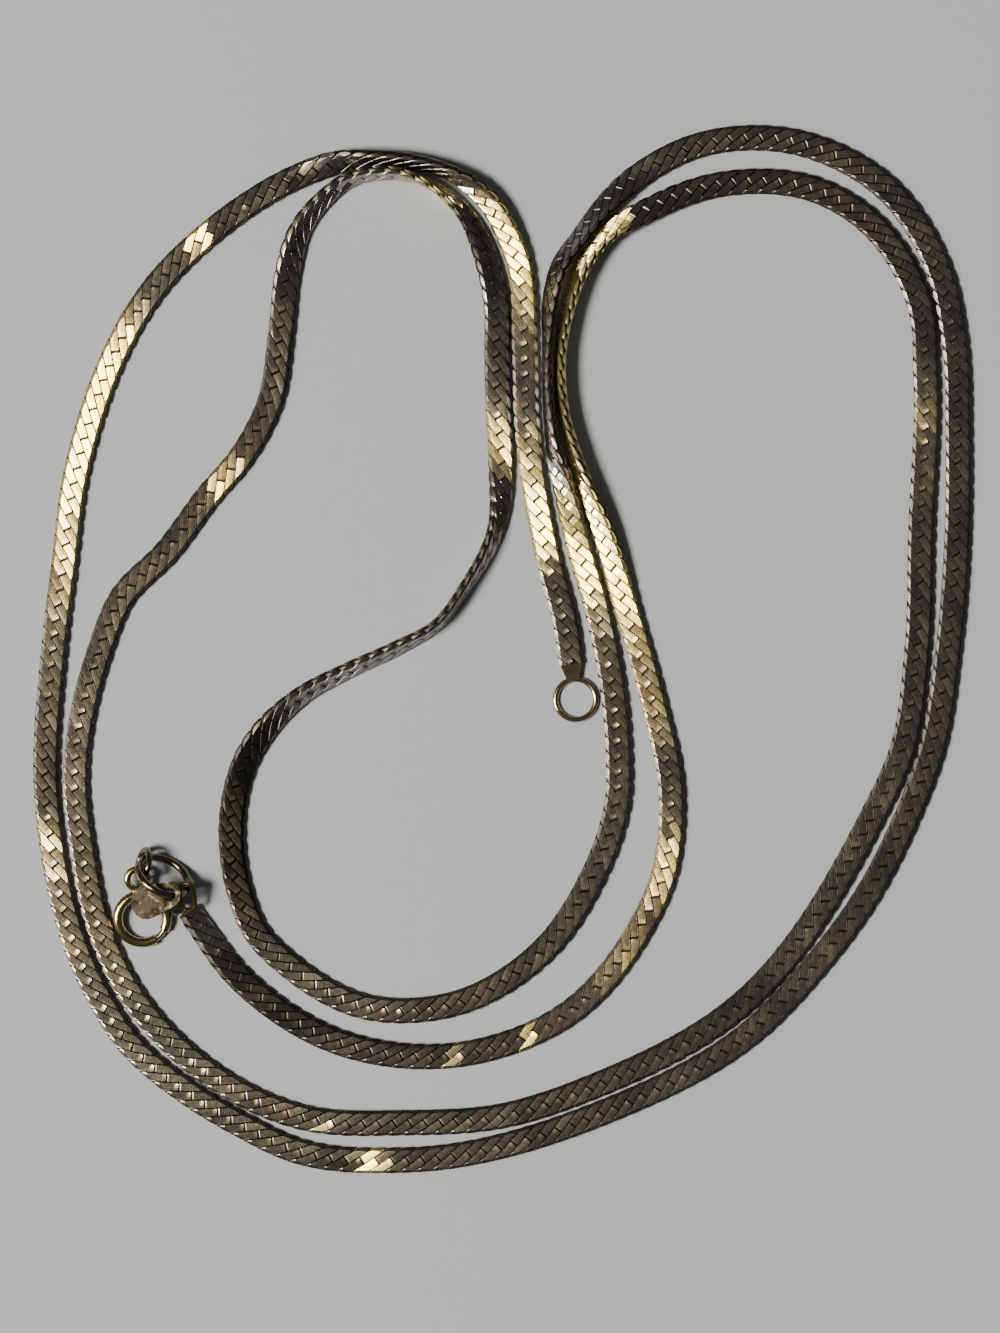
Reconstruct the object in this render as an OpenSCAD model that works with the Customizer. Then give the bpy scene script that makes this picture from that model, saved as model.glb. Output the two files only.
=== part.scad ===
// A long flat herringbone chain, laid out open in loose loops on a level surface.
// One end has a plain soldered ring and the other a spring ring clasp with a bare tag.
// Millimetres, Z up, resting on Z = 0, with the origin under the middle of the layout.

/* [Chain] */
// Width of the flat chain
chain_w = 2; // [1.7:0.1:2]
// Thickness of the flat chain
chain_t = 0.65; // [0.5:0.05:0.65]
// Bevel along each edge of the chain
edge_bevel = 0.18; // [0.05:0.01:0.3]
// Greatest distance between two sections of the chain
section_step = 2; // [1.5:0.5:4]

/* [End ring] */
// Outer diameter of the plain end ring
end_ring_d = 3.6; // [3.2:0.1:4.5]
// Wire of the plain end ring
end_ring_wire = 0.45; // [0.35:0.05:0.6]
// Length of the solder that joins the chain to the end ring
tip_len = 1.3; // [1:0.1:1.6]
// Width of that solder where it meets the ring
tip_w = 0.9; // [0.5:0.1:1.4]

/* [Clasp] */
// Diameter of the clasp ring through the middle of its tube
clasp_d = 3.82; // [3.6:0.02:4]
// Diameter of the clasp's tube
clasp_tube = 0.78; // [0.74:0.02:0.8]
// Diameter of the bolt
bolt_d = 0.46; // [0.4:0.02:0.48]
// Clearance round the bolt and its lever
bolt_clear = 0.05; // [0.03:0.01:0.06]
// Angle that the bolt spans where the clasp opens
clasp_gap = 30; // [24:1:34]
// Angle through which the bolt slides
bolt_travel = 40; // [38:1:42]
// Diameter of the lever's stem
lever_d = 0.34; // [0.28:0.02:0.36]
// Diameter of the lever's button
button_d = 0.56; // [0.46:0.02:0.6]
// Height of the button
button_t = 0.22; // [0.15:0.01:0.3]
// Diameter of the eye through the middle of its wire
eye_d = 1.56; // [1.5:0.02:1.6]
// Wire of the eye
eye_wire = 0.54; // [0.48:0.02:0.56]
// Tilt of the clasp, with its eye held up
clasp_tilt = 8.3; // [8:0.1:8.6]

/* [Jump rings] */
// Diameter of the upright ring through the middle of its wire
upright_d = 2.4; // [2.36:0.02:2.44]
// Wire of the upright ring
upright_wire = 0.51; // [0.4:0.01:0.53]
// Diameter of the large ring through the middle of its wire
large_d = 4.14; // [4.1:0.02:4.18]
// Wire of the large ring
large_wire = 0.6; // [0.5:0.02:0.62]
// Wire of the loop soldered to the chain
loop_wire = 0.38; // [0.3:0.02:0.4]
// Clearance between the loop and the large ring
loop_clear = 0.08; // [0.05:0.01:0.12]
// Length of the loop's straight sides
loop_len = 1.4; // [1.3:0.05:1.5]

/* [Tag] */
// Thickness of the tag
tag_t = 0.25; // [0.15:0.05:0.3]
// Diameter of the tag's broad end
tag_w = 2.6; // [2.5:0.1:2.8]
// Diameter of the tag's holed end
tag_tip_w = 1.95; // [1.85:0.05:2]
// Distance between the middles of the tag's two ends
tag_len = 2.3; // [2.2:0.1:2.5]
// Diameter of the tag's hole
tag_hole = 1.1; // [1.05:0.05:1.15]

/* [Hidden] */
$fn = 40;
gold = [0.72, 0.6, 0.34];
worn_gold = [0.62, 0.5, 0.36];

// The middle of the chain, from the end ring to the clasp: X, Y and the roll about its own length.
// A roll of 0 lies flat, 90 stands on an edge, and 180 lies flat with the other face up.
route = [
    [5.4, -1.2, 0], [5.1, 1.2, 0], [3.5, 7.6, 0], [1.9, 18.3, 0], [1.8, 22.8, 0], [1, 31.1, -12],
    [-1.6, 35.5, -44], [-4.3, 37.2, -68], [-7.2, 38, -66], [-10.6, 38.2, -58], [-13.4, 37.8, -25],
    [-15.9, 36.9, 0], [-19.7, 34.8, 0], [-22.8, 32.5, 0], [-26.2, 29.3, 0], [-33.2, 14, 0],
    [-34.2, 6.6, 0], [-35, -0.1, 0], [-35.5, -12, 0], [-31.8, -26.5, 0], [-28.9, -31, 0],
    [-24.6, -34.6, 0], [-20.3, -37.2, 0], [-16.3, -39.1, 0], [-7.5, -39.9, 0], [8.3, -36, 0],
    [19.8, -29.6, 0], [24.2, -25, 0], [28.3, -19.5, 0], [31.5, -13.3, 0], [33.5, -8, 0],
    [34.8, -0.1, 0], [35.6, 16.6, 0], [35.3, 24.1, 0], [34.3, 29, 0], [29.8, 36.1, 0], [22.1, 39.7, 0],
    [14.7, 39.1, 0], [10.9, 37.1, 3], [8.1, 34.7, 38], [6, 32, 50], [4.6, 30.1, 54], [3.8, 27.3, 60],
    [3.6, 24.1, 76], [3.7, 18.3, 76], [4.1, 15.3, 64], [4.8, 12.8, 40], [6.1, 7.6, 0], [7.3, 3.6, 0],
    [9.1, -8.5, 0], [9.1, -11, 0], [6.6, -18.7, 0], [3.7, -23, 0], [-3.7, -27.7, 0], [-10.9, -27.9, 0],
    [-16.8, -24.6, 0], [-19.1, -22.3, 0], [-20.6, -18.6, 0], [-21, -12.2, 0], [-20.2, -9.1, 8],
    [-15.6, -3.6, 52], [-12.3, -1.8, 62], [-8.2, 0.1, 68], [-5.2, 1.8, 78], [-2.8, 4.9, 74],
    [-0.6, 9, 60], [-0.1, 15.3, 8], [-0.3, 18.3, 0], [-0.4, 22.8, 0], [-0.5, 27.3, 8], [-1.4, 31, 28],
    [-2.4, 33.2, 50], [-4.1, 35.2, 68], [-7.9, 37, 103], [-12.3, 36.4, 115], [-13.7, 35.3, 122],
    [-15.7, 32.8, 140], [-16.7, 29.6, 165], [-17.3, 24.5, 180], [-18.2, 19.1, 180], [-20.3, 15.1, 180],
    [-23, 11.9, 180], [-26.2, 7.6, 180], [-29.7, 4, 180], [-31.4, -0.1, 180], [-33.3, -10.6, 180],
    [-32.7, -15.9, 180], [-31.6, -21.2, 180], [-29.3, -26.4, 180], [-15.5, -36.6, 180],
    [-7.5, -37, 180], [-0.2, -36.5, 180], [7.5, -34, 180], [18.1, -28.2, 180], [28.8, -13.3, 180],
    [31.2, -8, 180], [32.4, -0.1, 180], [32.7, 9.1, 180], [33.1, 21.6, 180], [32.7, 26.6, 180], [27.7, 34.1, 180], [24.8, 35.7, 180],
    [17.3, 36.3, 182], [10.9, 34, 205], [8.5, 32.6, 225], [4.7, 24.1, 260], [4.8, 18.3, 257],
    [5.6, 15.3, 252], [8.1, 8.6, 215], [9.3, 4.6, 190], [11.9, -4.5, 180], [13.2, -11, 180],
    [12.3, -18.6, 180], [11.1, -21.2, 180], [5.2, -28.4, 180], [-3.6, -31.7, 180], [-12.8, -30.7, 180],
    [-20.5, -25.7, 190], [-24.4, -20.5, 212]
];
// The point where the two runs meet
meet = 58;

// Places round the clasp, from the corner where its rings meet the chain
corner = [-27.2, -18.85, 0];
clasp_x = -0.85;
clasp_y = -2.18;
eye_turn = 96.9;
upright_at = [-0.746, 2.022, 1.386];
upright_lean = [0, 111.64, -12.79];
large_at = [0.867, 1.156, 2.018];
large_lean = [0, 55.27, 60.47];

clasp_mid = clasp_d / 2;
clasp_rise = clasp_tube / 2 + clasp_mid * sin(clasp_tilt);
bore_d = bolt_d + 2 * bolt_clear;
eye_mid = eye_d / 2;
eye_sink = 0.2;
eye_out = clasp_mid + clasp_tube / 2 + eye_mid + eye_wire / 2 - eye_sink;
open_from = -125;
open_to = open_from - clasp_gap;
seat_len = 6;
seat_spare = 3;
lever_turn = -85;
lever_spare = 0.5;
bolt_end = -53;
chamber_end = 27;
button_gap = 0.14;
button_reach = clasp_mid + clasp_tube / 2 + button_gap;
upright_mid = upright_d / 2;
large_mid = large_d / 2;
loop_mid = large_wire / 2 + loop_clear + loop_wire / 2;
solder_part = 0.85;
solder_len = 0.1;
solder_bead = 1.5;
tag_at = [1.471, -0.218, 3.361];
tag_lean = [-7.22, -27.26, 18.57];
loop_at = [2.667, 0.131, 2.024];
loop_dir = 274.26;
loop_drop = 29.84;
loop_roll = 18.66;

// The chain's section, point by point: across its width and through its thickness
sect = [
    [-chain_w / 2, -chain_t / 4], [edge_bevel - chain_w / 2, -chain_t / 2],
    [chain_w / 2 - edge_bevel, -chain_t / 2], [chain_w / 2, -chain_t / 4],
    [chain_w / 2, chain_t / 4], [chain_w / 2 - edge_bevel, chain_t / 2],
    [edge_bevel - chain_w / 2, chain_t / 2], [-chain_w / 2, chain_t / 4]
];

// Distance in plan between a route point and the next
function gap(i) = norm([route[i + 1][0] - route[i][0], route[i + 1][1] - route[i][1]]);

// Direction and rate of roll at a route point, weighted towards its nearer neighbour
function pace(i) =
    i == 0 ? (route[1] - route[0]) / gap(0) :
    i == len(route) - 1 ? (route[i] - route[i - 1]) / gap(i - 1) :
    ((route[i] - route[i - 1]) * gap(i) / gap(i - 1) + (route[i + 1] - route[i]) * gap(i - 1) / gap(i))
        / (gap(i) + gap(i - 1));

// A smooth cubic through the route points, and its slope; t runs from 0 to 1 along one stretch
function at(i, t) =
    (2 * pow(t, 3) - 3 * pow(t, 2) + 1) * route[i] + (pow(t, 3) - 2 * pow(t, 2) + t) * gap(i) * pace(i)
        + (3 * pow(t, 2) - 2 * pow(t, 3)) * route[i + 1] + (pow(t, 3) - pow(t, 2)) * gap(i) * pace(i + 1);
function slope(i, t) =
    (6 * pow(t, 2) - 6 * t) * (route[i] - route[i + 1]) + (3 * pow(t, 2) - 4 * t + 1) * gap(i) * pace(i)
        + (3 * pow(t, 2) - 2 * t) * gap(i) * pace(i + 1);

// Height of the chain's middle when its lowest edge rests on the surface at this roll
function lift(roll) = -min([for (p = sect) p[0] * sin(roll) + p[1] * cos(roll)]);

// One section of the chain, square to the route
function ring_at(p, dir) =
    let (side = [-dir[1], dir[0]] / norm([dir[0], dir[1]]), h = lift(p[2]))
    [for (q = sect)
        let (across = q[0] * cos(p[2]) - q[1] * sin(p[2]))
        [p[0] + side[0] * across, p[1] + side[1] * across, h + q[0] * sin(p[2]) + q[1] * cos(p[2])]];

// All sections from one route point to another
function rings(from, to) = concat(
    [for (i = [from : to - 1])
        let (n = max(1, round(gap(i) / section_step)))
        for (k = [0 : n - 1]) ring_at(at(i, k / n), slope(i, k / n))],
    [ring_at(route[to], pace(to))]
);

// A closed band through the sections
module band(from, to) {
    r = rings(from, to);
    m = len(sect);
    last = (len(r) - 1) * m;
    polyhedron(
        points = [for (s = r) each s],
        faces = concat(
            [[for (j = [0 : m - 1]) j]],
            [for (i = [0 : len(r) - 2], j = [0 : m - 1]) each [
                [i * m + j, (i + 1) * m + j, (i + 1) * m + (j + 1) % m],
                [i * m + j, (i + 1) * m + (j + 1) % m, i * m + (j + 1) % m]
            ]],
            [[for (j = [m - 1 : -1 : 0]) last + j]]
        )
    );
}

// A round wire ring lying about the Z axis
module wire_ring(mid, wire) {
    rotate_extrude() translate([mid, 0]) circle(d = wire);
}

// Part of a ring lying about the Z axis, between two angles
module wire_arc(mid, wire, from, to) {
    rotate([0, 0, from]) rotate_extrude(angle = to - from) translate([mid, 0]) circle(d = wire);
}

// Puts a piece on the clasp's own axis, with X towards its eye
module on_clasp() {
    translate(corner + [clasp_x, clasp_y, clasp_rise]) rotate([0, 0, eye_turn]) rotate([0, -clasp_tilt, 0])
        children();
}

module chain_outer_run() {
    color(gold) band(0, meet);
}

module chain_inner_run() {
    color(gold) band(meet, len(route) - 1);
}

// The end ring lies flat, soldered to the chain's square end
module end_ring() {
    end_mid = (end_ring_d - end_ring_wire) / 2;
    broad = chain_w * solder_part;
    dir = atan2(-pace(0)[1], -pace(0)[0]);
    color(gold) translate([route[0][0], route[0][1], 0]) rotate([0, 0, dir]) {
        linear_extrude(chain_t * solder_part) polygon([
            [0, -broad / 2], [tip_len, -tip_w / 2], [tip_len, tip_w / 2], [0, broad / 2]
        ]);
        translate([tip_len + end_mid - end_ring_wire / 4, 0, end_ring_wire / 2]) wire_ring(end_mid, end_ring_wire);
    }
}

// Puts a piece on the end of the chain by the clasp, with X out of the chain
module on_chain_end() {
    last = route[len(route) - 1];
    out = pace(len(route) - 1);
    translate([last[0], last[1], lift(last[2])]) rotate([0, 0, atan2(out[1], out[0])]) rotate([last[2], 0, 0])
        children();
}

// Puts a piece on the loop's own plane, with X down towards the chain
module on_loop() {
    translate(corner + loop_at) rotate([0, loop_drop, loop_dir]) rotate([loop_roll, 0, 0]) children();
}

// A long loop round the large ring, soldered to the chain's last link
module clasp_end_loop() {
    wide = chain_w * solder_part;
    deep = chain_t * solder_part;
    color(gold) difference() {
        union() {
            on_loop() {
                wire_arc(loop_mid, loop_wire, 90, 270);
                translate([loop_len, 0, 0]) wire_arc(loop_mid, loop_wire, -90, 90);
                for (s = [-1, 1])
                    translate([0, s * loop_mid, 0]) rotate([0, 90, 0]) cylinder(d = loop_wire, h = loop_len);
            }
            hull() {
                on_chain_end() translate([0, -wide / 2, -deep / 2]) cube([solder_len, wide, deep]);
                on_loop() translate([loop_len + loop_mid, 0, 0]) sphere(d = loop_wire * solder_bead, $fn = 24);
            }
        }
        on_chain_end() translate([-chain_w, -chain_w, -chain_w]) cube([chain_w, chain_w * 2, chain_w * 2]);
    }
}

module large_jump_ring() {
    color(gold) translate(corner + large_at) rotate(large_lean) wire_ring(large_mid, large_wire);
}

module upright_jump_ring() {
    color(gold) translate(corner + upright_at) rotate(upright_lean) wire_ring(upright_mid, upright_wire);
}

// A tapered plate with one broad end and a holed end on the large ring
module tag() {
    side = asin((tag_w - tag_tip_w) / 2 / tag_len);
    color(worn_gold) translate(corner + tag_at) rotate([0, 0, tag_lean[2]]) rotate([0, tag_lean[1], 0])
        rotate([tag_lean[0], 0, 0]) difference() {
            union() {
                cylinder(d = tag_tip_w, h = tag_t, center = true);
                translate([-tag_len, 0, 0]) cylinder(d = tag_w, h = tag_t, center = true);
                linear_extrude(tag_t, center = true) polygon([
                    [tag_tip_w / 2 * sin(side), -tag_tip_w / 2 * cos(side)],
                    [tag_tip_w / 2 * sin(side), tag_tip_w / 2 * cos(side)],
                    [tag_w / 2 * sin(side) - tag_len, tag_w / 2 * cos(side)],
                    [tag_w / 2 * sin(side) - tag_len, -tag_w / 2 * cos(side)]
                ]);
            }
            cylinder(d = tag_hole, h = tag_t * 3, center = true);
        }
}

// The clasp's hollow tube with its opening, its slot for the lever and its eye
module clasp_ring() {
    slot_w = lever_d + 2 * bolt_clear;
    slack = atan(slot_w / clasp_d) + lever_spare;
    color(gold) on_clasp() {
        difference() {
            union() {
                wire_arc(clasp_mid, clasp_tube, open_from, open_to + 360);
                translate([eye_out, 0, 0]) wire_ring(eye_mid, eye_wire);
            }
            wire_arc(clasp_mid, bore_d, open_from - 1, chamber_end);
            wire_arc(clasp_mid, bore_d, open_to - seat_len - seat_spare, open_to + 1);
            rotate([0, 0, lever_turn - slack]) rotate_extrude(angle = bolt_travel + 2 * slack)
                translate([clasp_mid, -slot_w / 2]) square([clasp_tube, slot_w]);
        }
    }
}

// The curved bolt, with the stem and button that a thumb pulls
module clasp_bolt() {
    color(gold) on_clasp() {
        wire_arc(clasp_mid, bolt_d, open_to - seat_len, bolt_end);
        rotate([0, 0, lever_turn]) translate([clasp_mid, 0, 0]) rotate([0, 90, 0]) {
            cylinder(d = lever_d, h = button_reach - clasp_mid + button_t / 2);
            translate([0, 0, button_reach - clasp_mid]) cylinder(d = button_d, h = button_t);
        }
    }
}

chain_outer_run();
chain_inner_run();
end_ring();
clasp_end_loop();
large_jump_ring();
upright_jump_ring();
tag();
clasp_ring();
clasp_bolt();
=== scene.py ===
import math
import bpy
import numpy as np
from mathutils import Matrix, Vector


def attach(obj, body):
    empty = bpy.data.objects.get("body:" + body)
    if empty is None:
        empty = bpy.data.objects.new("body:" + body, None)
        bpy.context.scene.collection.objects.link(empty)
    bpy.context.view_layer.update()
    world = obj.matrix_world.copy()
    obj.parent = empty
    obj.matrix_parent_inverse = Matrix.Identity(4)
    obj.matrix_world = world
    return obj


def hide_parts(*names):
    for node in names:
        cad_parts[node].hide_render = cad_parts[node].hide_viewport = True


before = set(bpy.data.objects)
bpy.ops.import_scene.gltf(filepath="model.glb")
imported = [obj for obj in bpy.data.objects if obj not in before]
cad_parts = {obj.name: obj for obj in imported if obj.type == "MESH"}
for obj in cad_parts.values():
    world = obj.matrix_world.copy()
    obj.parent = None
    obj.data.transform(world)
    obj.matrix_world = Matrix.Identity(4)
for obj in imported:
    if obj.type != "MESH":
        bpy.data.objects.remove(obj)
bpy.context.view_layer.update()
print("frame loaded:", len(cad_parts), "nodes")

mm = 0.001
view = {
    "middle": (-0.16 * mm, -1.37 * mm),
    "tall": 104.14 * mm,
    "lens": 170.0,
    "film": 36.0,
}


def makeCamera():
    # straight down, so far away that the frame's long side covers the stated height
    data = bpy.data.cameras.new("topCamera")
    data.lens, data.sensor_width = view["lens"], view["film"]
    away = view["tall"] * view["lens"] / view["film"]
    data.clip_start, data.clip_end = away * 0.05, away * 20
    camera = bpy.data.objects.new("topCamera", data)
    camera.location = (*view["middle"], away)
    bpy.context.scene.collection.objects.link(camera)
    bpy.context.scene.camera = camera


makeCamera()


class Signal:
    # a shader socket that can be used in sums; every operator adds one Math node
    def __init__(self, paint, socket):
        self.paint, self.socket = paint, socket

    def maths(self, operation, first, second):
        return self.paint.node("ShaderNodeMath", {"operation": operation}, {0: first, 1: second})

    def __add__(self, other):
        return self.maths("ADD", self, other)

    def __radd__(self, other):
        return self.maths("ADD", other, self)

    def __sub__(self, other):
        return self.maths("SUBTRACT", self, other)

    def __rsub__(self, other):
        return self.maths("SUBTRACT", other, self)

    def __mul__(self, other):
        return self.maths("MULTIPLY", self, other)

    def __rmul__(self, other):
        return self.maths("MULTIPLY", other, self)

    def __pow__(self, power):
        return self.maths("POWER", self, power)

    def held(self, low=0.0, high=1.0):
        return self.maths("MINIMUM", self.maths("MAXIMUM", self, low), high)


class Paint:
    # one material while it is built
    def __init__(self, name):
        self.material = bpy.data.materials.new(name)
        self.material.use_nodes = True
        self.tree = self.material.node_tree
        self.shader = self.tree.nodes["Principled BSDF"]

    def put(self, socket, value):
        if isinstance(value, Signal):
            self.tree.links.new(value.socket, socket)
        else:
            socket.default_value = value

    def node(self, kind, settings=None, values=None, pick=0):
        made = self.tree.nodes.new(kind)
        for name, value in (settings or {}).items():
            if name == "stops":
                for extra in range(len(value) - 2):
                    made.color_ramp.elements.new(0.5)
                for element, (place, colour) in zip(made.color_ramp.elements, value):
                    element.position, element.color = place, colour
            else:
                setattr(made, name, value)
        for name, value in (values or {}).items():
            self.put(made.inputs[name], value)
        return Signal(self, made.outputs[pick])

    def mix(self, amount, first, second, blend="MIX"):
        return self.node("ShaderNodeMix", {"data_type": "RGBA", "blend_type": blend},
                         {0: amount, 6: first, 7: second}, 2)

    def noise(self, size, detail=3.0, rough=0.55):
        here = self.node("ShaderNodeTexCoord", None, None, 3)
        return self.node("ShaderNodeTexNoise", None, {
            "Vector": here, "Scale": 1.0 / size, "Detail": detail, "Roughness": rough})

    def stored(self, name):
        return self.node("ShaderNodeAttribute", {"attribute_name": name}, None, 2)

    def storedVector(self, name):
        return self.node("ShaderNodeAttribute", {"attribute_name": name}, None, 1)

    def bump(self, height, strength, depth, normal=None):
        values = {"Height": height, "Strength": strength, "Distance": depth}
        if normal:
            values["Normal"] = normal
        return self.node("ShaderNodeBump", None, values)

    def done(self, **sockets):
        for name, value in sockets.items():
            self.put(self.shader.inputs[name.replace("_", " ")], value)
        return self.material


linkLook = {
    "dark": (0.232, 0.21, 0.212, 1),
    "bronze": (0.375, 0.345, 0.315, 1),
    "gold": (1.0, 0.86, 0.36, 1),
    "blush": (1.0, 0.84, 0.76, 1),
    # painted shade colour for the gaps, the darkened slopes and corners, and the core
    "gapShadeColour": (0.02, 0.016, 0.011, 1),
    "shade": (0.02, 0.019, 0.02, 1),
    # where the first three colours lie on the ramp; links reach the gold end mostly through their gleam, a
    # painted highlight
    "ramp": (0.0, 0.4, 0.95),
    # how much the gleam (painted highlight), the tone, the wear patches, the grain and the rims (painted
    # reflection with some wear) add to a link's place on the ramp
    "sheenAndWear": (0.95, 0.2, 0.5, 0.1, 0.12),
    # sizes of the patches, the grain, the rosy clouds and the dents
    "patch": 4.0 * mm,
    "grain": 0.25 * mm,
    "cloud": 8.0 * mm,
    "dent": 0.35 * mm,
    # a level face's roughness, and how much the ramp value, grain, patches and gaps add to it
    "rough": (0.25, 0.03, 0.14, 0.10, 0.3),
    # strength and depth of the dents
    "bump": (0.14, 0.05 * mm),
}


def linkGold():
    # a link's place on its colour ramp is a sum of its gleam squared, which is painted highlight, its own
    # tone, patches, grain and a lighter rim that is painted reflection with some wear;
    # the gap mask is 1 down in the gaps, where it paints shade, and lean tips the shading of a face towards
    # or away from the light
    p = Paint("linkGold")
    gleam, tone, edge, deep = (p.stored(name) for name in ("gleam", "tone", "edge", "deep"))
    patch = p.noise(linkLook["patch"], 2.0)
    fine = p.noise(linkLook["grain"], 2.0, 0.6)
    bright = gleam.held()
    byGleam, byTone, byPatch, byGrain, byRim = linkLook["sheenAndWear"]
    # painted highlight from the gleam and painted reflection on the rims, with real tone, wear patches and
    # grain
    sheenAndWear = (bright * bright * byGleam + tone * byTone + (patch - 0.5) * byPatch
             + (fine - 0.5) * byGrain + edge * byRim).held()
    stops = list(zip(linkLook["ramp"], (linkLook["dark"], linkLook["bronze"], linkLook["gold"])))
    colour = p.node("ShaderNodeValToRGB", {"stops": stops}, {"Fac": sheenAndWear})
    rosy = ((p.noise(linkLook["cloud"], 1.0) - 0.46) * 4.0).held()
    colour = p.mix(rosy * 0.5, colour, p.mix(1.0, colour, linkLook["blush"], "MULTIPLY"))
    # a gleam below 0 is a stretch that lies in shade
    colour = p.mix((gleam * -1.6).held(0.0, 0.8), colour, linkLook["shade"])
    # painted shade down in the gaps, on darkened slopes and inner corners and on the core
    colour = p.mix((deep ** 0.5).held() * 0.95, colour, linkLook["gapShadeColour"])
    level, forSheenAndWear, forGrain, forPatch, forGap = linkLook["rough"]
    rough = (level + sheenAndWear * forSheenAndWear + (fine - 0.5) * forGrain + (patch - 0.5) * forPatch
             + deep * forGap).held(0.14, 0.85)
    straight = p.node("ShaderNodeNewGeometry", None, None, 1)
    tipped = p.node("ShaderNodeVectorMath", {"operation": "ADD"}, {0: straight, 1: p.storedVector("lean")})
    tipped = p.node("ShaderNodeVectorMath", {"operation": "NORMALIZE"}, {0: tipped})
    height = p.noise(linkLook["dent"], 2.0) * 0.7 + fine * 0.3
    normal = p.bump(height, *linkLook["bump"], tipped)
    return p.done(Base_Color=colour, Metallic=1.0, Roughness=rough, Normal=normal)


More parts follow.
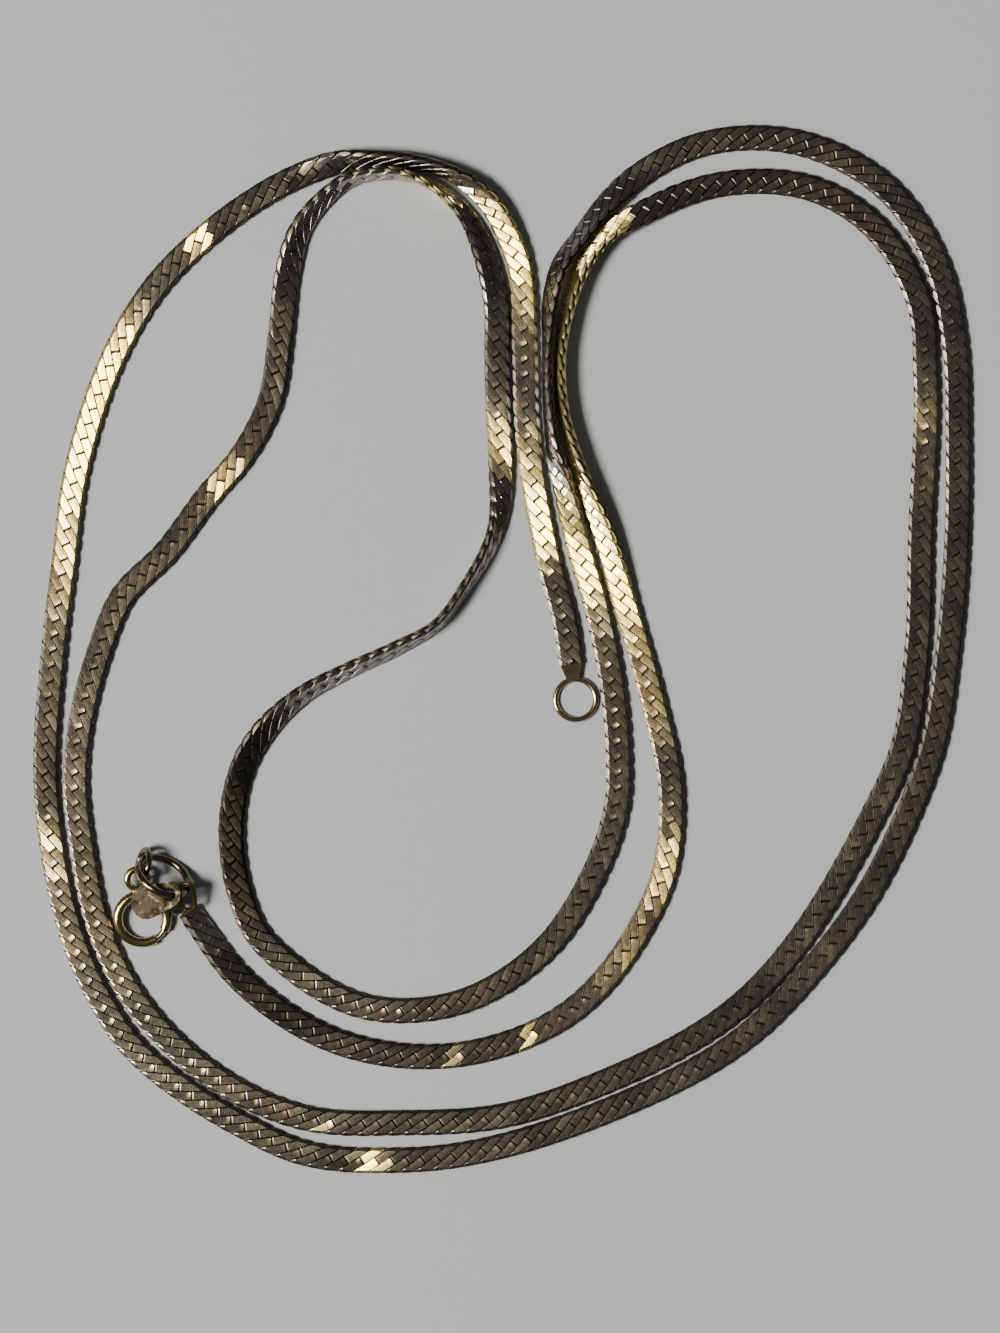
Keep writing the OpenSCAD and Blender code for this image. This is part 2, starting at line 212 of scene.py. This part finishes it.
chain = {
    "width": 2.0 * mm,
    "thick": 0.65 * mm,
    "bevel": 0.18 * mm,
    "pitch": 1.2 * mm,
    "lean": math.radians(34),
    "gap": 0.022 * mm,
    # how far the wall of a link leans along the chain from its face down to the middle of the thickness
    "slant": 0.22 * mm,
    # the step from a link's face down to its outline, along its sides and at the chain's edge,
    # and the share of the half width from which it grows
    "step": 0.06 * mm,
    "edgeStep": 0.17 * mm,
    "edgeFrom": 0.76,
    # half the width and half the thickness of the core, and the length of its pieces
    "core": (0.82 * mm, 0.14 * mm),
    "corePiece": 0.6 * mm,
    # a link that reaches less than this into the chain's ends is left out
    "stub": 0.1 * mm,
    # how close together the points along the route are
    "fine": 0.25 * mm,
    "seed": 7,
    "meet": 58,
    # the middle of the chain from its end ring to its clasp: x and y in metres, and its roll in degrees
    "route": [
        (0.0054, -0.0012, 0), (0.0051, 0.0012, 0), (0.0035, 0.0076, 0), (0.0019, 0.0183, 0),
        (0.0018, 0.0228, 0), (0.001, 0.0311, -12), (-0.0016, 0.0355, -44), (-0.0043, 0.0372, -68),
        (-0.0072, 0.038, -66), (-0.0106, 0.0382, -58), (-0.0134, 0.0378, -25), (-0.0159, 0.0369, 0),
        (-0.0197, 0.0348, 0), (-0.0228, 0.0325, 0), (-0.0262, 0.0293, 0), (-0.0332, 0.014, 0),
        (-0.0342, 0.0066, 0), (-0.035, -0.0001, 0), (-0.0355, -0.012, 0), (-0.0318, -0.0265, 0),
        (-0.0289, -0.031, 0), (-0.0246, -0.0346, 0), (-0.0203, -0.0372, 0), (-0.0163, -0.0391, 0),
        (-0.0075, -0.0399, 0), (0.0083, -0.036, 0), (0.0198, -0.0296, 0), (0.0242, -0.025, 0),
        (0.0283, -0.0195, 0), (0.0315, -0.0133, 0), (0.0335, -0.008, 0), (0.0348, -0.0001, 0),
        (0.0356, 0.0166, 0), (0.0353, 0.0241, 0), (0.0343, 0.029, 0), (0.0298, 0.0361, 0),
        (0.0221, 0.0397, 0), (0.0147, 0.0391, 0), (0.0109, 0.0371, 3), (0.0081, 0.0347, 38),
        (0.006, 0.032, 50), (0.0046, 0.0301, 54), (0.0038, 0.0273, 60), (0.0036, 0.0241, 76),
        (0.0037, 0.0183, 76), (0.0041, 0.0153, 64), (0.0048, 0.0128, 40), (0.0061, 0.0076, 0),
        (0.0073, 0.0036, 0), (0.0091, -0.0085, 0), (0.0091, -0.011, 0), (0.0066, -0.0187, 0),
        (0.0037, -0.023, 0), (-0.0037, -0.0277, 0), (-0.0109, -0.0279, 0), (-0.0168, -0.0246, 0),
        (-0.0191, -0.0223, 0), (-0.0206, -0.0186, 0), (-0.021, -0.0122, 0), (-0.0202, -0.0091, 8),
        (-0.0156, -0.0036, 52), (-0.0123, -0.0018, 62), (-0.0082, 0.0001, 68), (-0.0052, 0.0018, 78),
        (-0.0028, 0.0049, 74), (-0.0006, 0.009, 60), (-0.0001, 0.0153, 8), (-0.0003, 0.0183, 0),
        (-0.0004, 0.0228, 0), (-0.0005, 0.0273, 8), (-0.0014, 0.031, 28), (-0.0024, 0.0332, 50),
        (-0.0041, 0.0352, 68), (-0.0079, 0.037, 103), (-0.0123, 0.0364, 115), (-0.0137, 0.0353, 122),
        (-0.0157, 0.0328, 140), (-0.0167, 0.0296, 165), (-0.0173, 0.0245, 180), (-0.0182, 0.0191, 180),
        (-0.0203, 0.0151, 180), (-0.023, 0.0119, 180), (-0.0262, 0.0076, 180), (-0.0297, 0.004, 180),
        (-0.0314, -0.0001, 180), (-0.0333, -0.0106, 180), (-0.0327, -0.0159, 180), (-0.0316, -0.0212, 180),
        (-0.0293, -0.0264, 180), (-0.0155, -0.0366, 180), (-0.0075, -0.037, 180), (-0.0002, -0.0365, 180),
        (0.0075, -0.034, 180), (0.0181, -0.0282, 180), (0.0288, -0.0133, 180), (0.0312, -0.008, 180),
        (0.0324, -0.0001, 180), (0.0327, 0.0091, 180), (0.0331, 0.0216, 180), (0.0327, 0.0266, 180),
        (0.0277, 0.0341, 180), (0.0248, 0.0357, 180), (0.0173, 0.0363, 182), (0.0109, 0.034, 205),
        (0.0085, 0.0326, 225), (0.0047, 0.0241, 260), (0.0048, 0.0183, 257), (0.0056, 0.0153, 252),
        (0.0081, 0.0086, 215), (0.0093, 0.0046, 190), (0.0119, -0.0045, 180), (0.0132, -0.011, 180),
        (0.0123, -0.0186, 180), (0.0111, -0.0212, 180), (0.0052, -0.0284, 180), (-0.0036, -0.0317, 180),
        (-0.0128, -0.0307, 180), (-0.0205, -0.0257, 190), (-0.0244, -0.0205, 212),
    ],
    # how bright the links look at some places, painted into their colour as painted highlight and tipping
    # their shading: metres along the chain, and the share; below 0 is painted shade
    "bright": [
        (0, 0.4), (0.0024, 0.3), (0.0052, 0.4), (0.0075, 0.6), (0.0095, 0.95), (0.013, 0.9), (0.0166, 0.7),
        (0.0193, 0.6), (0.0226, 0.45), (0.0256, 0.5), (0.0287, 0.75), (0.0325, 1), (0.0358, 0.85),
        (0.0381, 0.8), (0.0404, 0.4), (0.0434, 0.3), (0.048, 0.25), (0.054, 0.1), (0.0579, 0.1),
        (0.0584, 0.55), (0.0589, 0.1), (0.061, 0.3), (0.0617, 1), (0.0629, 0.9), (0.0642, 0),
        (0.0664, 0.25), (0.0694, 0.65), (0.0717, 0.8), (0.0758, 1), (0.0791, 1), (0.0829, 1), (0.0876, 0.8),
        (0.0916, 0.75), (0.0964, 0.45), (0.1011, 0.25), (0.1081, 0.1), (0.1108, 0.65), (0.1136, 0.7),
        (0.1169, 0.45), (0.1216, 0.5), (0.1269, 0.45), (0.132, 0.35), (0.1379, 0.3), (0.1436, 0.2),
        (0.1491, 0.15), (0.1499, 1), (0.1517, 0.8), (0.1524, 0.1), (0.1607, 0.15), (0.1691, 0.15),
        (0.1781, 0.2), (0.1894, 0.35), (0.1985, 0.2), (0.2079, 0.15), (0.2169, 0.05), (0.2327, 0.2),
        (0.2444, 0.25), (0.2549, 0.05), (0.2638, 0.05), (0.2708, 0.05), (0.2756, 0.05), (0.2817, 0.1),
        (0.2848, 0.1), (0.29, 0.15), (0.2952, 0.1), (0.3, 0.35), (0.3049, 0.8), (0.3095, 1), (0.3127, 0.7),
        (0.3147, 0.55), (0.3187, 0.45), (0.3242, 0.4), (0.3282, 0.3), (0.3348, 0.25), (0.34, 0.2),
        (0.3489, 0.15), (0.3529, 0.4), (0.3587, 0.35), (0.3648, 0), (0.3698, -0.4), (0.3745, -0.6),
        (0.3814, -0.4), (0.3869, 0), (0.3907, 0.2), (0.3955, 0.3), (0.3987, 0.2), (0.4026, 0.2),
        (0.407, 0.15), (0.4116, 0.45), (0.4129, 0.9), (0.4159, 0.8), (0.4171, 0.55), (0.4186, 0.1),
        (0.4224, -0.1), (0.4297, 0.15), (0.4324, 0.25), (0.4348, 0.95), (0.4373, 0.75), (0.4388, 0.7),
        (0.441, 0.4), (0.443, 0.6), (0.4451, 0.3), (0.4483, 0.15), (0.4524, 0.15), (0.457, -0.05),
        (0.462, 0.15), (0.4668, 0.35), (0.468, 0.8), (0.47, 0.9), (0.4715, 0.4), (0.4741, 0.3),
        (0.4786, 0.3), (0.4834, 0.2), (0.4876, 0.4), (0.4946, 0.35), (0.4978, 0.45), (0.5016, 0.5),
        (0.5056, 0.45), (0.5106, 0.5), (0.513, 0.5), (0.5188, 0.4), (0.5248, 0.35), (0.5306, 0.2),
        (0.5313, 0.2), (0.5316, 1), (0.5323, 0.6), (0.5328, 0.1), (0.5422, 0.15), (0.5541, 0.2),
        (0.5662, 0.3), (0.5847, 0.35), (0.5905, 0.25), (0.5985, 0.15), (0.608, 0.2), (0.615, 0.5),
        (0.6172, 0.7), (0.6197, 0.4), (0.622, 0.25), (0.626, 0.25), (0.6329, 0.05), (0.6377, 0.05),
        (0.6456, 0.05), (0.6524, 0.2), (0.6537, 0.9), (0.655, 1), (0.6574, 0.95), (0.66, 0.8),
        (0.6645, 0.8), (0.669, 0.8), (0.6724, 0.8), (0.6774, 0.85), (0.6806, 1), (0.6847, 1), (0.6887, 0.8),
        (0.692, 0.6), (0.6945, 0.7), (0.7008, 0.4), (0.7033, 0.6), (0.7056, 0.85), (0.7081, 0.8),
        (0.7101, 0.6), (0.7122, 0.6), (0.7173, 0.6), (0.7215, 0.4), (0.7238, 0.2), (0.7243, 0.8),
        (0.7248, 0.8), (0.7253, 0.3), (0.7296, 0.15), (0.73, 0.65), (0.7305, 0.65), (0.731, 0.25),
        (0.7346, 0.1), (0.7396, -0.2), (0.7451, -0.3), (0.7491, -0.2), (0.7511, -0.1), (0.7521, 0.5),
        (0.7536, 0.4), (0.7554, 0.4),
    ],
    # the way and angle that a bright link tips to face the lamp, and how much more per metre to the right
    "lamp": (math.radians(188), math.radians(13.5), 1.45),
    # below the first share a link doesn't tip, and from the second on it tips fully
    "dull": 0.5,
    "full": 0.95,
    # slow and quick differences between neighbouring links, and how much quicker where bright meets dark
    "waver": math.radians(0.8),
    "jitter": math.radians(0.6),
    "mottle": math.radians(2.0),
    # how much painted shade the slopes and the inner corners of a link get at some shares of gleam
    "slopes": ((0.1, 0.35, 1), (0.8, 0.35, 0.7)),
    "corners": ((0.12, 0.35), (0.45, 0)),
    # how much a face bulges across a link, and how far its inner end dips towards the light
    "crown": math.radians(2.5),
    "dip": math.radians(15.5),
    # the least and most dip among links, its growth with the gleam and the least share of it
    "dips": (0.35, 1.1),
    "dipGrowth": (2.2, 0.3),
    # how fast a brighter link on a rolled stretch is brought back level, and the steepest slope for that
    "level": (1.3, 0.9),
}

# one link's outline and, inside it, the edge of its flat face, for the half of the chain at positive u:
# x is the distance along the chain from the link's own slanted middle line in half pitches, u in half widths
linkShape = {
    "outline": [(0.84, -0.215), (1, -0.19), (1, 0.06), (1, 0.77), (0.72, 0.91), (0.3, 0.98), (-0.2, 1.0),
                (-0.75, 0.98), (-1, 0.89), (-1, 0.5), (-1, 0.279)],
    "face": [(0.74, -0.15), (0.86, -0.13), (0.86, 0.06), (0.86, 0.65), (0.62, 0.725), (0.26, 0.76),
             (-0.14, 0.765), (-0.62, 0.75), (-0.86, 0.70), (-0.86, 0.5), (-0.86, 0.30)],
    # which of these points bound the inner end, and which the rest of the face
    "tip": [0, 1, 2, 9, 10],
    "rest": [2, 3, 4, 5, 6, 7, 8, 9],
}


def smoothRoute(points, step):
    # a cubic through the points: each one's direction is the mean of its two chords, weighted to the nearer
    p = np.array(points, float)
    gap = np.linalg.norm(np.diff(p[:, :2], axis=0), axis=1)
    chord = np.diff(p, axis=0) / gap[:, None]
    pace = np.vstack([chord[:1], np.zeros((len(p) - 2, 3)), chord[-1:]])
    pace[1:-1] = (chord[:-1] * gap[1:, None] + chord[1:] * gap[:-1, None]) / (gap[:-1] + gap[1:])[:, None]
    count = np.maximum(1, np.round(gap / step)).astype(int)
    index = np.repeat(np.arange(len(gap)), count)
    t = (np.arange(len(index)) - np.repeat(np.cumsum(count) - count, count)) / count[index]
    index, t = np.append(index, len(gap) - 1), np.append(t, 1.0)
    g, t1 = gap[index, None], t[:, None]
    curve = ((2 * t1**3 - 3 * t1**2 + 1) * p[index] + (t1**3 - 2 * t1**2 + t1) * g * pace[index]
             + (3 * t1**2 - 2 * t1**3) * p[index + 1] + (t1**3 - t1**2) * g * pace[index + 1])
    slope = ((6 * t1**2 - 6 * t1) * (p[index] - p[index + 1]) + (3 * t1**2 - 4 * t1 + 1) * g * pace[index]
             + (3 * t1**2 - 2 * t1) * g * pace[index + 1])
    length = np.append(0, np.cumsum(np.linalg.norm(np.diff(curve[:, :2], axis=0), axis=1)))
    heading = np.unwrap(np.arctan2(slope[:, 1], slope[:, 0]))
    return {"curve": curve, "heading": heading, "length": length, "at": index + t}


def liftFor(roll):
    # height of the chain's middle when the lowest corner of its section rests on the surface
    w, h, b = chain["width"] / 2, chain["thick"] / 2, chain["bevel"]
    corners = np.array([(w, h / 2), (w - b, h), (-w + b, h), (-w, h / 2)])
    corners = np.vstack([corners, -corners])
    return -np.min(corners[:, 0] * np.sin(roll)[..., None] + corners[:, 1] * np.cos(roll)[..., None], axis=-1)


def rollAt(route, s):
    # the roll between two points of the route changes evenly along the chain
    return np.radians(np.interp(s, route["length"], route["curve"][:, 2]))


def alongChain(route, s, u, v):
    # a point s along the chain, u across its width and v through its thickness, turned by the roll there
    x = np.interp(s, route["length"], route["curve"][:, 0])
    y = np.interp(s, route["length"], route["curve"][:, 1])
    heading = np.interp(s, route["length"], route["heading"])
    roll = rollAt(route, s)
    side = u * np.cos(roll) - v * np.sin(roll)
    z = liftFor(roll) + u * np.sin(roll) + v * np.cos(roll)
    return np.stack([x - np.sin(heading) * side, y + np.cos(heading) * side, z], -1)


def linkRow(route, start, end, face, side, rng):
    # one row of links: face 1 or -1 for front or back, side 1 or -1 for the half of the width
    k = 1 / math.tan(chain["lean"])
    half = chain["pitch"] / 2 - chain["gap"] / 2 / math.sin(chain["lean"])
    w, h = chain["width"] / 2, chain["thick"] / 2
    outline, flat = (np.array(linkShape[name]) for name in ("outline", "face"))
    rings = np.stack([flat, outline, outline]) * side
    edgeShare = np.clip((np.abs(outline[:, 1]) - chain["edgeFrom"]) / (1 - chain["edgeFrom"]), 0, 1)
    drop = np.maximum(chain["step"], chain["edgeStep"] * edgeShare)
    v = face * np.stack([0 * drop + h, h - drop, 0 * drop])
    u = rings[:, :, 1] * w
    whole = route["length"][-1]
    first = np.arange(math.floor(start / chain["pitch"]) - 3, math.ceil(end / chain["pitch"]) + 4)
    middle = first * chain["pitch"] + (chain["pitch"] / 2 - 2 * chain["slant"] if face < 0 else 0)
    s = middle[:, None, None] + face * (rings[:, :, 0] * half + k * u)
    s[:, 2] -= face * chain["slant"]
    centre = s[:, 0].mean(axis=1)
    low = start if start > 0 else -half
    high = end if end < whole else whole + half
    inside = (s.max(axis=(1, 2)) > chain["stub"]) & (s.min(axis=(1, 2)) < whole - chain["stub"])
    kept = (centre > low) & (centre <= high) & inside
    s, centre = np.clip(s[kept], 0, whole), np.clip(centre[kept], 0, whole)
    count = len(s)
    gleam = np.interp(centre, *np.array(chain["bright"]).T)
    azimuth, tip, more = chain["lamp"]
    tip = tip + more * np.interp(centre, route["length"], route["curve"][:, 0])
    lit = np.clip((gleam - chain["dull"]) / (chain["full"] - chain["dull"]), 0, 1)
    quick = chain["jitter"] + chain["mottle"] * 4 * lit * (1 - lit)
    lamp = np.array([math.cos(azimuth), math.sin(azimuth), 0])
    lean = lamp * (tip * lit)[:, None]
    for axis in (0, 1):
        slow = np.convolve(rng.normal(0, 1, count + 8), np.ones(5) / math.sqrt(5), "same")[4:-4]
        lean[:, axis] += slow * chain["waver"] + rng.normal(0, 1, count) * quick
    # where the roll tips a bright face away, the lean also brings it back level
    across = -face * np.sin(rollAt(route, centre))
    heading = np.interp(centre, route["length"], route["heading"])
    slope = np.stack([-np.sin(heading) * across, np.cos(heading) * across, 0 * across], -1)
    quickly, steepest = chain["level"]
    back = slope * (np.clip(gleam * quickly, 0, 1) * (np.abs(across) < steepest))[:, None]
    # the way across a link and the way from its outer to its inner end, both flat on the surface
    m = len(outline)
    points = alongChain(route, s, u + 0 * s, v + 0 * s)
    over, inward = points[:, 0, 2] - points[:, 0, 9], points[:, 0, 0] - points[:, 0, 6]
    for way in (over, inward):
        way[:, 2] = 0
        way /= np.linalg.norm(way, axis=1)[:, None] + 1e-9
    top = (lean - back)[:, None] + flat[None, :, :1] * over[:, None] * chain["crown"]
    # an inner end that points away from the lamp dips most
    growth, least = chain["dipGrowth"]
    away = (np.clip(0.3 - inward @ lamp, 0, 1) * rng.uniform(*chain["dips"], count)
            * np.clip(growth * gleam, least, 1))
    top[:, [0, 1]] += (lamp * (away * chain["dip"] * (1 - 0.8 * lit))[:, None])[:, None]
    lean = np.stack([top, lean[:, None] + 0 * top, lean[:, None] + 0 * top], 1)
    # painted shade: the slopes down to the gaps are darkened between dull or bright links, as are a dull
    # link's inner corners, and the bottoms are fully shaded
    deep = np.zeros((count, 3, m))
    deep[:, 1] = np.interp(gleam, *chain["slopes"])[:, None]
    deep[:, 2] = 1
    deep[:, 0, [0, 1, m - 1]] = np.interp(gleam, *chain["corners"])[:, None]
    return {
        "points": points.reshape(-1, 3), "count": count,
        "gleam": np.repeat(gleam, 3 * m), "tone": np.repeat(rng.random(count), 3 * m),
        "edge": np.tile(np.repeat([0.0, 1.0, 0.0], m), count),
        "deep": deep.ravel(),
        "lean": lean.reshape(-1, 3),
    }


def chainCore(route, start, end):
    # painted shade inside the chain: a plain four-sided strip that fills the gaps between the links and takes
    # the full gap shade colour
    w, h = chain["core"]
    s = np.linspace(start, end, int((end - start) / chain["corePiece"]) + 2)
    corners = np.array([(-w, -h), (w, -h), (w, h), (-w, h)])
    points = alongChain(route, s[:, None] + np.zeros(4), corners[None, :, 0] + 0 * s[:, None],
                        corners[None, :, 1] + 0 * s[:, None]).reshape(-1, 3)
    j = np.arange(4)
    step = 4 * np.arange(len(s) - 1)[:, None]
    after = (j + 1) % 4
    faces = np.stack([step + j, step + after, step + 4 + after, step + 4 + j], -1).reshape(-1, 4).tolist()
    faces += [[0, 3, 2, 1], (4 * (len(s) - 1) + j).tolist()]
    return points, faces


def chainRun(name, node, start, end, route, material):
    # four rows of links and the core in one mesh; a link has two rings of walls, two face parts and a back
    rng = np.random.default_rng(chain["seed"] + int(start > 0))
    rows = [linkRow(route, start, end, face, side, rng) for face in (1, -1) for side in (1, -1)]
    m = len(linkShape["outline"])
    j = np.arange(m)
    around = (j + 1) % m
    walls = np.concatenate([np.stack([r * m + j, r * m + around, (r - 1) * m + around, (r - 1) * m + j], 1)
                            for r in (1, 2)])
    points, faces, offset = [], [], 0
    for row in rows:
        base = offset + np.arange(row["count"])[:, None, None] * 3 * m
        tip, rest = (np.array([linkShape[part]]) for part in ("tip", "rest"))
        for part in (walls, tip, rest, 2 * m + j[None, ::-1]):
            faces += (part[None] + base).reshape(-1, part.shape[-1]).tolist()
        points.append(row["points"])
        offset += len(row["points"])
    corePoints, coreFaces = chainCore(route, start, end)
    points.append(corePoints)
    faces += [[offset + c for c in face] for face in coreFaces]
    mesh = bpy.data.meshes.new(name)
    mesh.from_pydata(np.concatenate(points).tolist(), [], faces)
    # the core takes the full painted gap shade
    for label, inCore in (("gleam", 0), ("tone", 0), ("edge", 0), ("deep", 1)):
        values = np.concatenate([row[label] for row in rows] + [np.full(len(corePoints), float(inCore))])
        mesh.attributes.new(label, "FLOAT", "POINT").data.foreach_set("value", values.astype(np.float32))
    lean = np.concatenate([row["lean"] for row in rows] + [0 * corePoints]).astype(np.float32)
    mesh.attributes.new("lean", "FLOAT_VECTOR", "POINT").data.foreach_set("vector", lean.ravel())
    mesh.materials.append(material)
    piece = bpy.data.objects.new(name, mesh)
    bpy.context.scene.collection.objects.link(piece)
    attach(piece, "chain")
    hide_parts(node)
    print(name, len(mesh.polygons), "faces")


route = smoothRoute(chain["route"], chain["fine"])
whole = route["length"][-1]
half = np.interp(chain["meet"], route["at"], route["length"])
gold = linkGold()
chainRun("outerLinks", "chain_outer_run", 0.0, half, route, gold)
chainRun("innerLinks", "chain_inner_run", half, whole, route, gold)
print("chain is", round(whole / mm), "mm long")

# the large and upright jump rings get a much darker gold than the clasp ring, bolt and end ring: painted
# shade for the dimmer look of these rings
wireLook = {
    "end_ring": {"gold": (0.52, 0.43, 0.28, 1), "rough": 0.14},
    "clasp_end_loop": {"gold": (0.20, 0.145, 0.08, 1), "rough": 0.32},
    "large_jump_ring": {"gold": (0.20, 0.165, 0.12, 1), "rough": 0.15},
    "upright_jump_ring": {"gold": (0.20, 0.17, 0.125, 1), "rough": 0.15},
    "clasp_ring": {"gold": (0.50, 0.41, 0.20, 1), "rough": 0.13},
    "clasp_bolt": {"gold": (0.50, 0.43, 0.28, 1), "rough": 0.10},
}

wireFilm = {
    "cloud": 0.9 * mm,
    "scratch": 0.09 * mm,
    # what the film leaves of the metal's red, green and blue
    "leaves": (0.5, 0.46, 0.4),
    "stain": (0.10, 0.07, 0.04, 1),
    "low": (0.03, 0.023, 0.017, 1),
    "bump": (0.25, 0.02 * mm),
}


def wireGold(name, look):
    # polished wire with faint tarnish clouds, fine scratches, a duller film in places and painted shade low
    # on its sides
    p = Paint(name + "Gold")
    cloud = p.noise(wireFilm["cloud"])
    fine = p.noise(wireFilm["scratch"], 3.0, 0.65)
    film = ((cloud - 0.42) * 3.0).held()
    dull = (*(part * left for part, left in zip(look["gold"], wireFilm["leaves"])), 1)
    colour = p.mix(film * 0.55, look["gold"], dull)
    colour = p.mix((fine - 0.5).held() * 0.6, colour, wireFilm["stain"])
    # the wire is darkest low on its sides: partly tarnish there, partly painted shade
    facing = p.node("ShaderNodeSeparateXYZ", None, {0: p.node("ShaderNodeTexCoord", None, None, 1)}, 2)
    colour = p.mix(((0.45 - facing) * 2.2).held(0.0, 0.85), colour, wireFilm["low"])
    rough = (look["rough"] + film * 0.12 + (fine - 0.5) * 0.2).held(0.08, 0.8)
    return p.done(Base_Color=colour, Metallic=1.0, Roughness=rough, Normal=p.bump(fine, *wireFilm["bump"]))


tagLook = {
    "brown": (0.052, 0.039, 0.028, 1),
    "stain": (0.016, 0.013, 0.006, 1),
    "worn": (0.22, 0.19, 0.13, 1),
    "stainSize": 0.75 * mm,
    "speckSize": 0.55 * mm,
    "grain": 0.1 * mm,
    "bump": (0.4, 0.05 * mm),
}


def tagGold():
    # dull brown metal with dark stains where one noise is high, and pale worn specks where another is
    p = Paint("tagGold")
    stain = ((p.noise(tagLook["stainSize"], 2.0, 0.5) - 0.50) * 7.0).held()
    speck = ((p.noise(tagLook["speckSize"], 4.0, 0.7) - 0.55) * 7.0).held()
    fine = p.noise(tagLook["grain"], 3.0, 0.65)
    colour = p.mix(stain, tagLook["brown"], tagLook["stain"])
    colour = p.mix(speck * 0.85, colour, tagLook["worn"])
    rough = (0.66 - speck * 0.12 + (fine - 0.5) * 0.3).held(0.3, 0.9)
    height = stain * -0.4 + speck * 0.3 + fine * 0.3
    return p.done(Base_Color=colour, Metallic=1.0, Roughness=rough, Normal=p.bump(height, *tagLook["bump"]))


metals = {node: wireGold(node.title().replace("_", ""), look) for node, look in wireLook.items()}
metals["tag"] = tagGold()
for node, metal in metals.items():
    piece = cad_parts[node]
    piece.data.materials.clear()
    piece.data.materials.append(metal)
print("rings, clasp and tag have their metal")

stage = {
    "size": 0.6,
    "paper": ((0.44, 0.445, 0.437, 1), (0.485, 0.49, 0.48, 1)),
    "grain": 1.1 * mm,
    "bump": (0.25, 0.05 * mm),
    "room": (0.30, 0.30, 0.31, 1),
    "roomLight": 0.26,
}

# the day lamp lights the paper and casts the shadows; the other two show only in the metal
lamps = {
    "dayLight": {"way": 190, "height": 55, "away": 0.80, "size": (0.20, 0.20), "power": 9.5,
                 "colour": (1.0, 0.985, 0.97), "inMetal": False, "onPaper": True},
    "windowGlow": {"way": 192, "height": 39, "away": 0.80, "size": (0.26, 0.30), "power": 13.5,
                   "colour": (1.0, 0.98, 0.94), "inMetal": True, "onPaper": False},
    "highLight": {"way": 188, "height": 62, "away": 1.2, "size": (0.28, 0.28), "power": 6.4,
                  "colour": (1.0, 0.89, 0.46), "inMetal": True, "onPaper": False},
}


def makeFloor():
    # one square of pale paper, a little uneven in tone and height by the same noise
    x = np.array([-1, 1, 1, -1]) * stage["size"]
    y = np.array([-1, -1, 1, 1]) * stage["size"]
    mesh = bpy.data.meshes.new("floor")
    mesh.from_pydata(np.stack([x, y, 0 * x], 1).tolist(), [], [(0, 1, 2, 3)])
    p = Paint("paper")
    grain = p.noise(stage["grain"], 4.0, 0.6)
    colour = p.mix(((grain - 0.5) * 0.5 + 0.5).held(), *stage["paper"])
    mesh.materials.append(p.done(Base_Color=colour, Roughness=0.85, Normal=p.bump(grain, *stage["bump"])))
    floor = bpy.data.objects.new("floor", mesh)
    bpy.context.scene.collection.objects.link(floor)


def softBox(name, look):
    # a rectangular lamp at an angle above the floor, aimed at the chain's middle
    data = bpy.data.lights.new(name, "AREA")
    data.shape = "RECTANGLE"
    data.size, data.size_y = look["size"]
    data.energy, data.color = look["power"], look["colour"]
    a, e = math.radians(look["way"]), math.radians(look["height"])
    lamp = bpy.data.objects.new(name, data)
    back = Vector((math.cos(a) * math.cos(e), math.sin(a) * math.cos(e), math.sin(e)))
    lamp.location = back * look["away"]
    lamp.rotation_mode = "QUATERNION"
    lamp.rotation_quaternion = back.to_track_quat("Z", "Y")
    lamp.visible_glossy, lamp.visible_diffuse = look["inMetal"], look["onPaper"]
    bpy.context.scene.collection.objects.link(lamp)


makeFloor()
for name, look in lamps.items():
    softBox(name, look)
world = bpy.data.worlds.new("room")
world.use_nodes = True
world.node_tree.nodes["Background"].inputs["Color"].default_value = stage["room"]
world.node_tree.nodes["Background"].inputs["Strength"].default_value = stage["roomLight"]
bpy.context.scene.world = world
print("stage is lit")
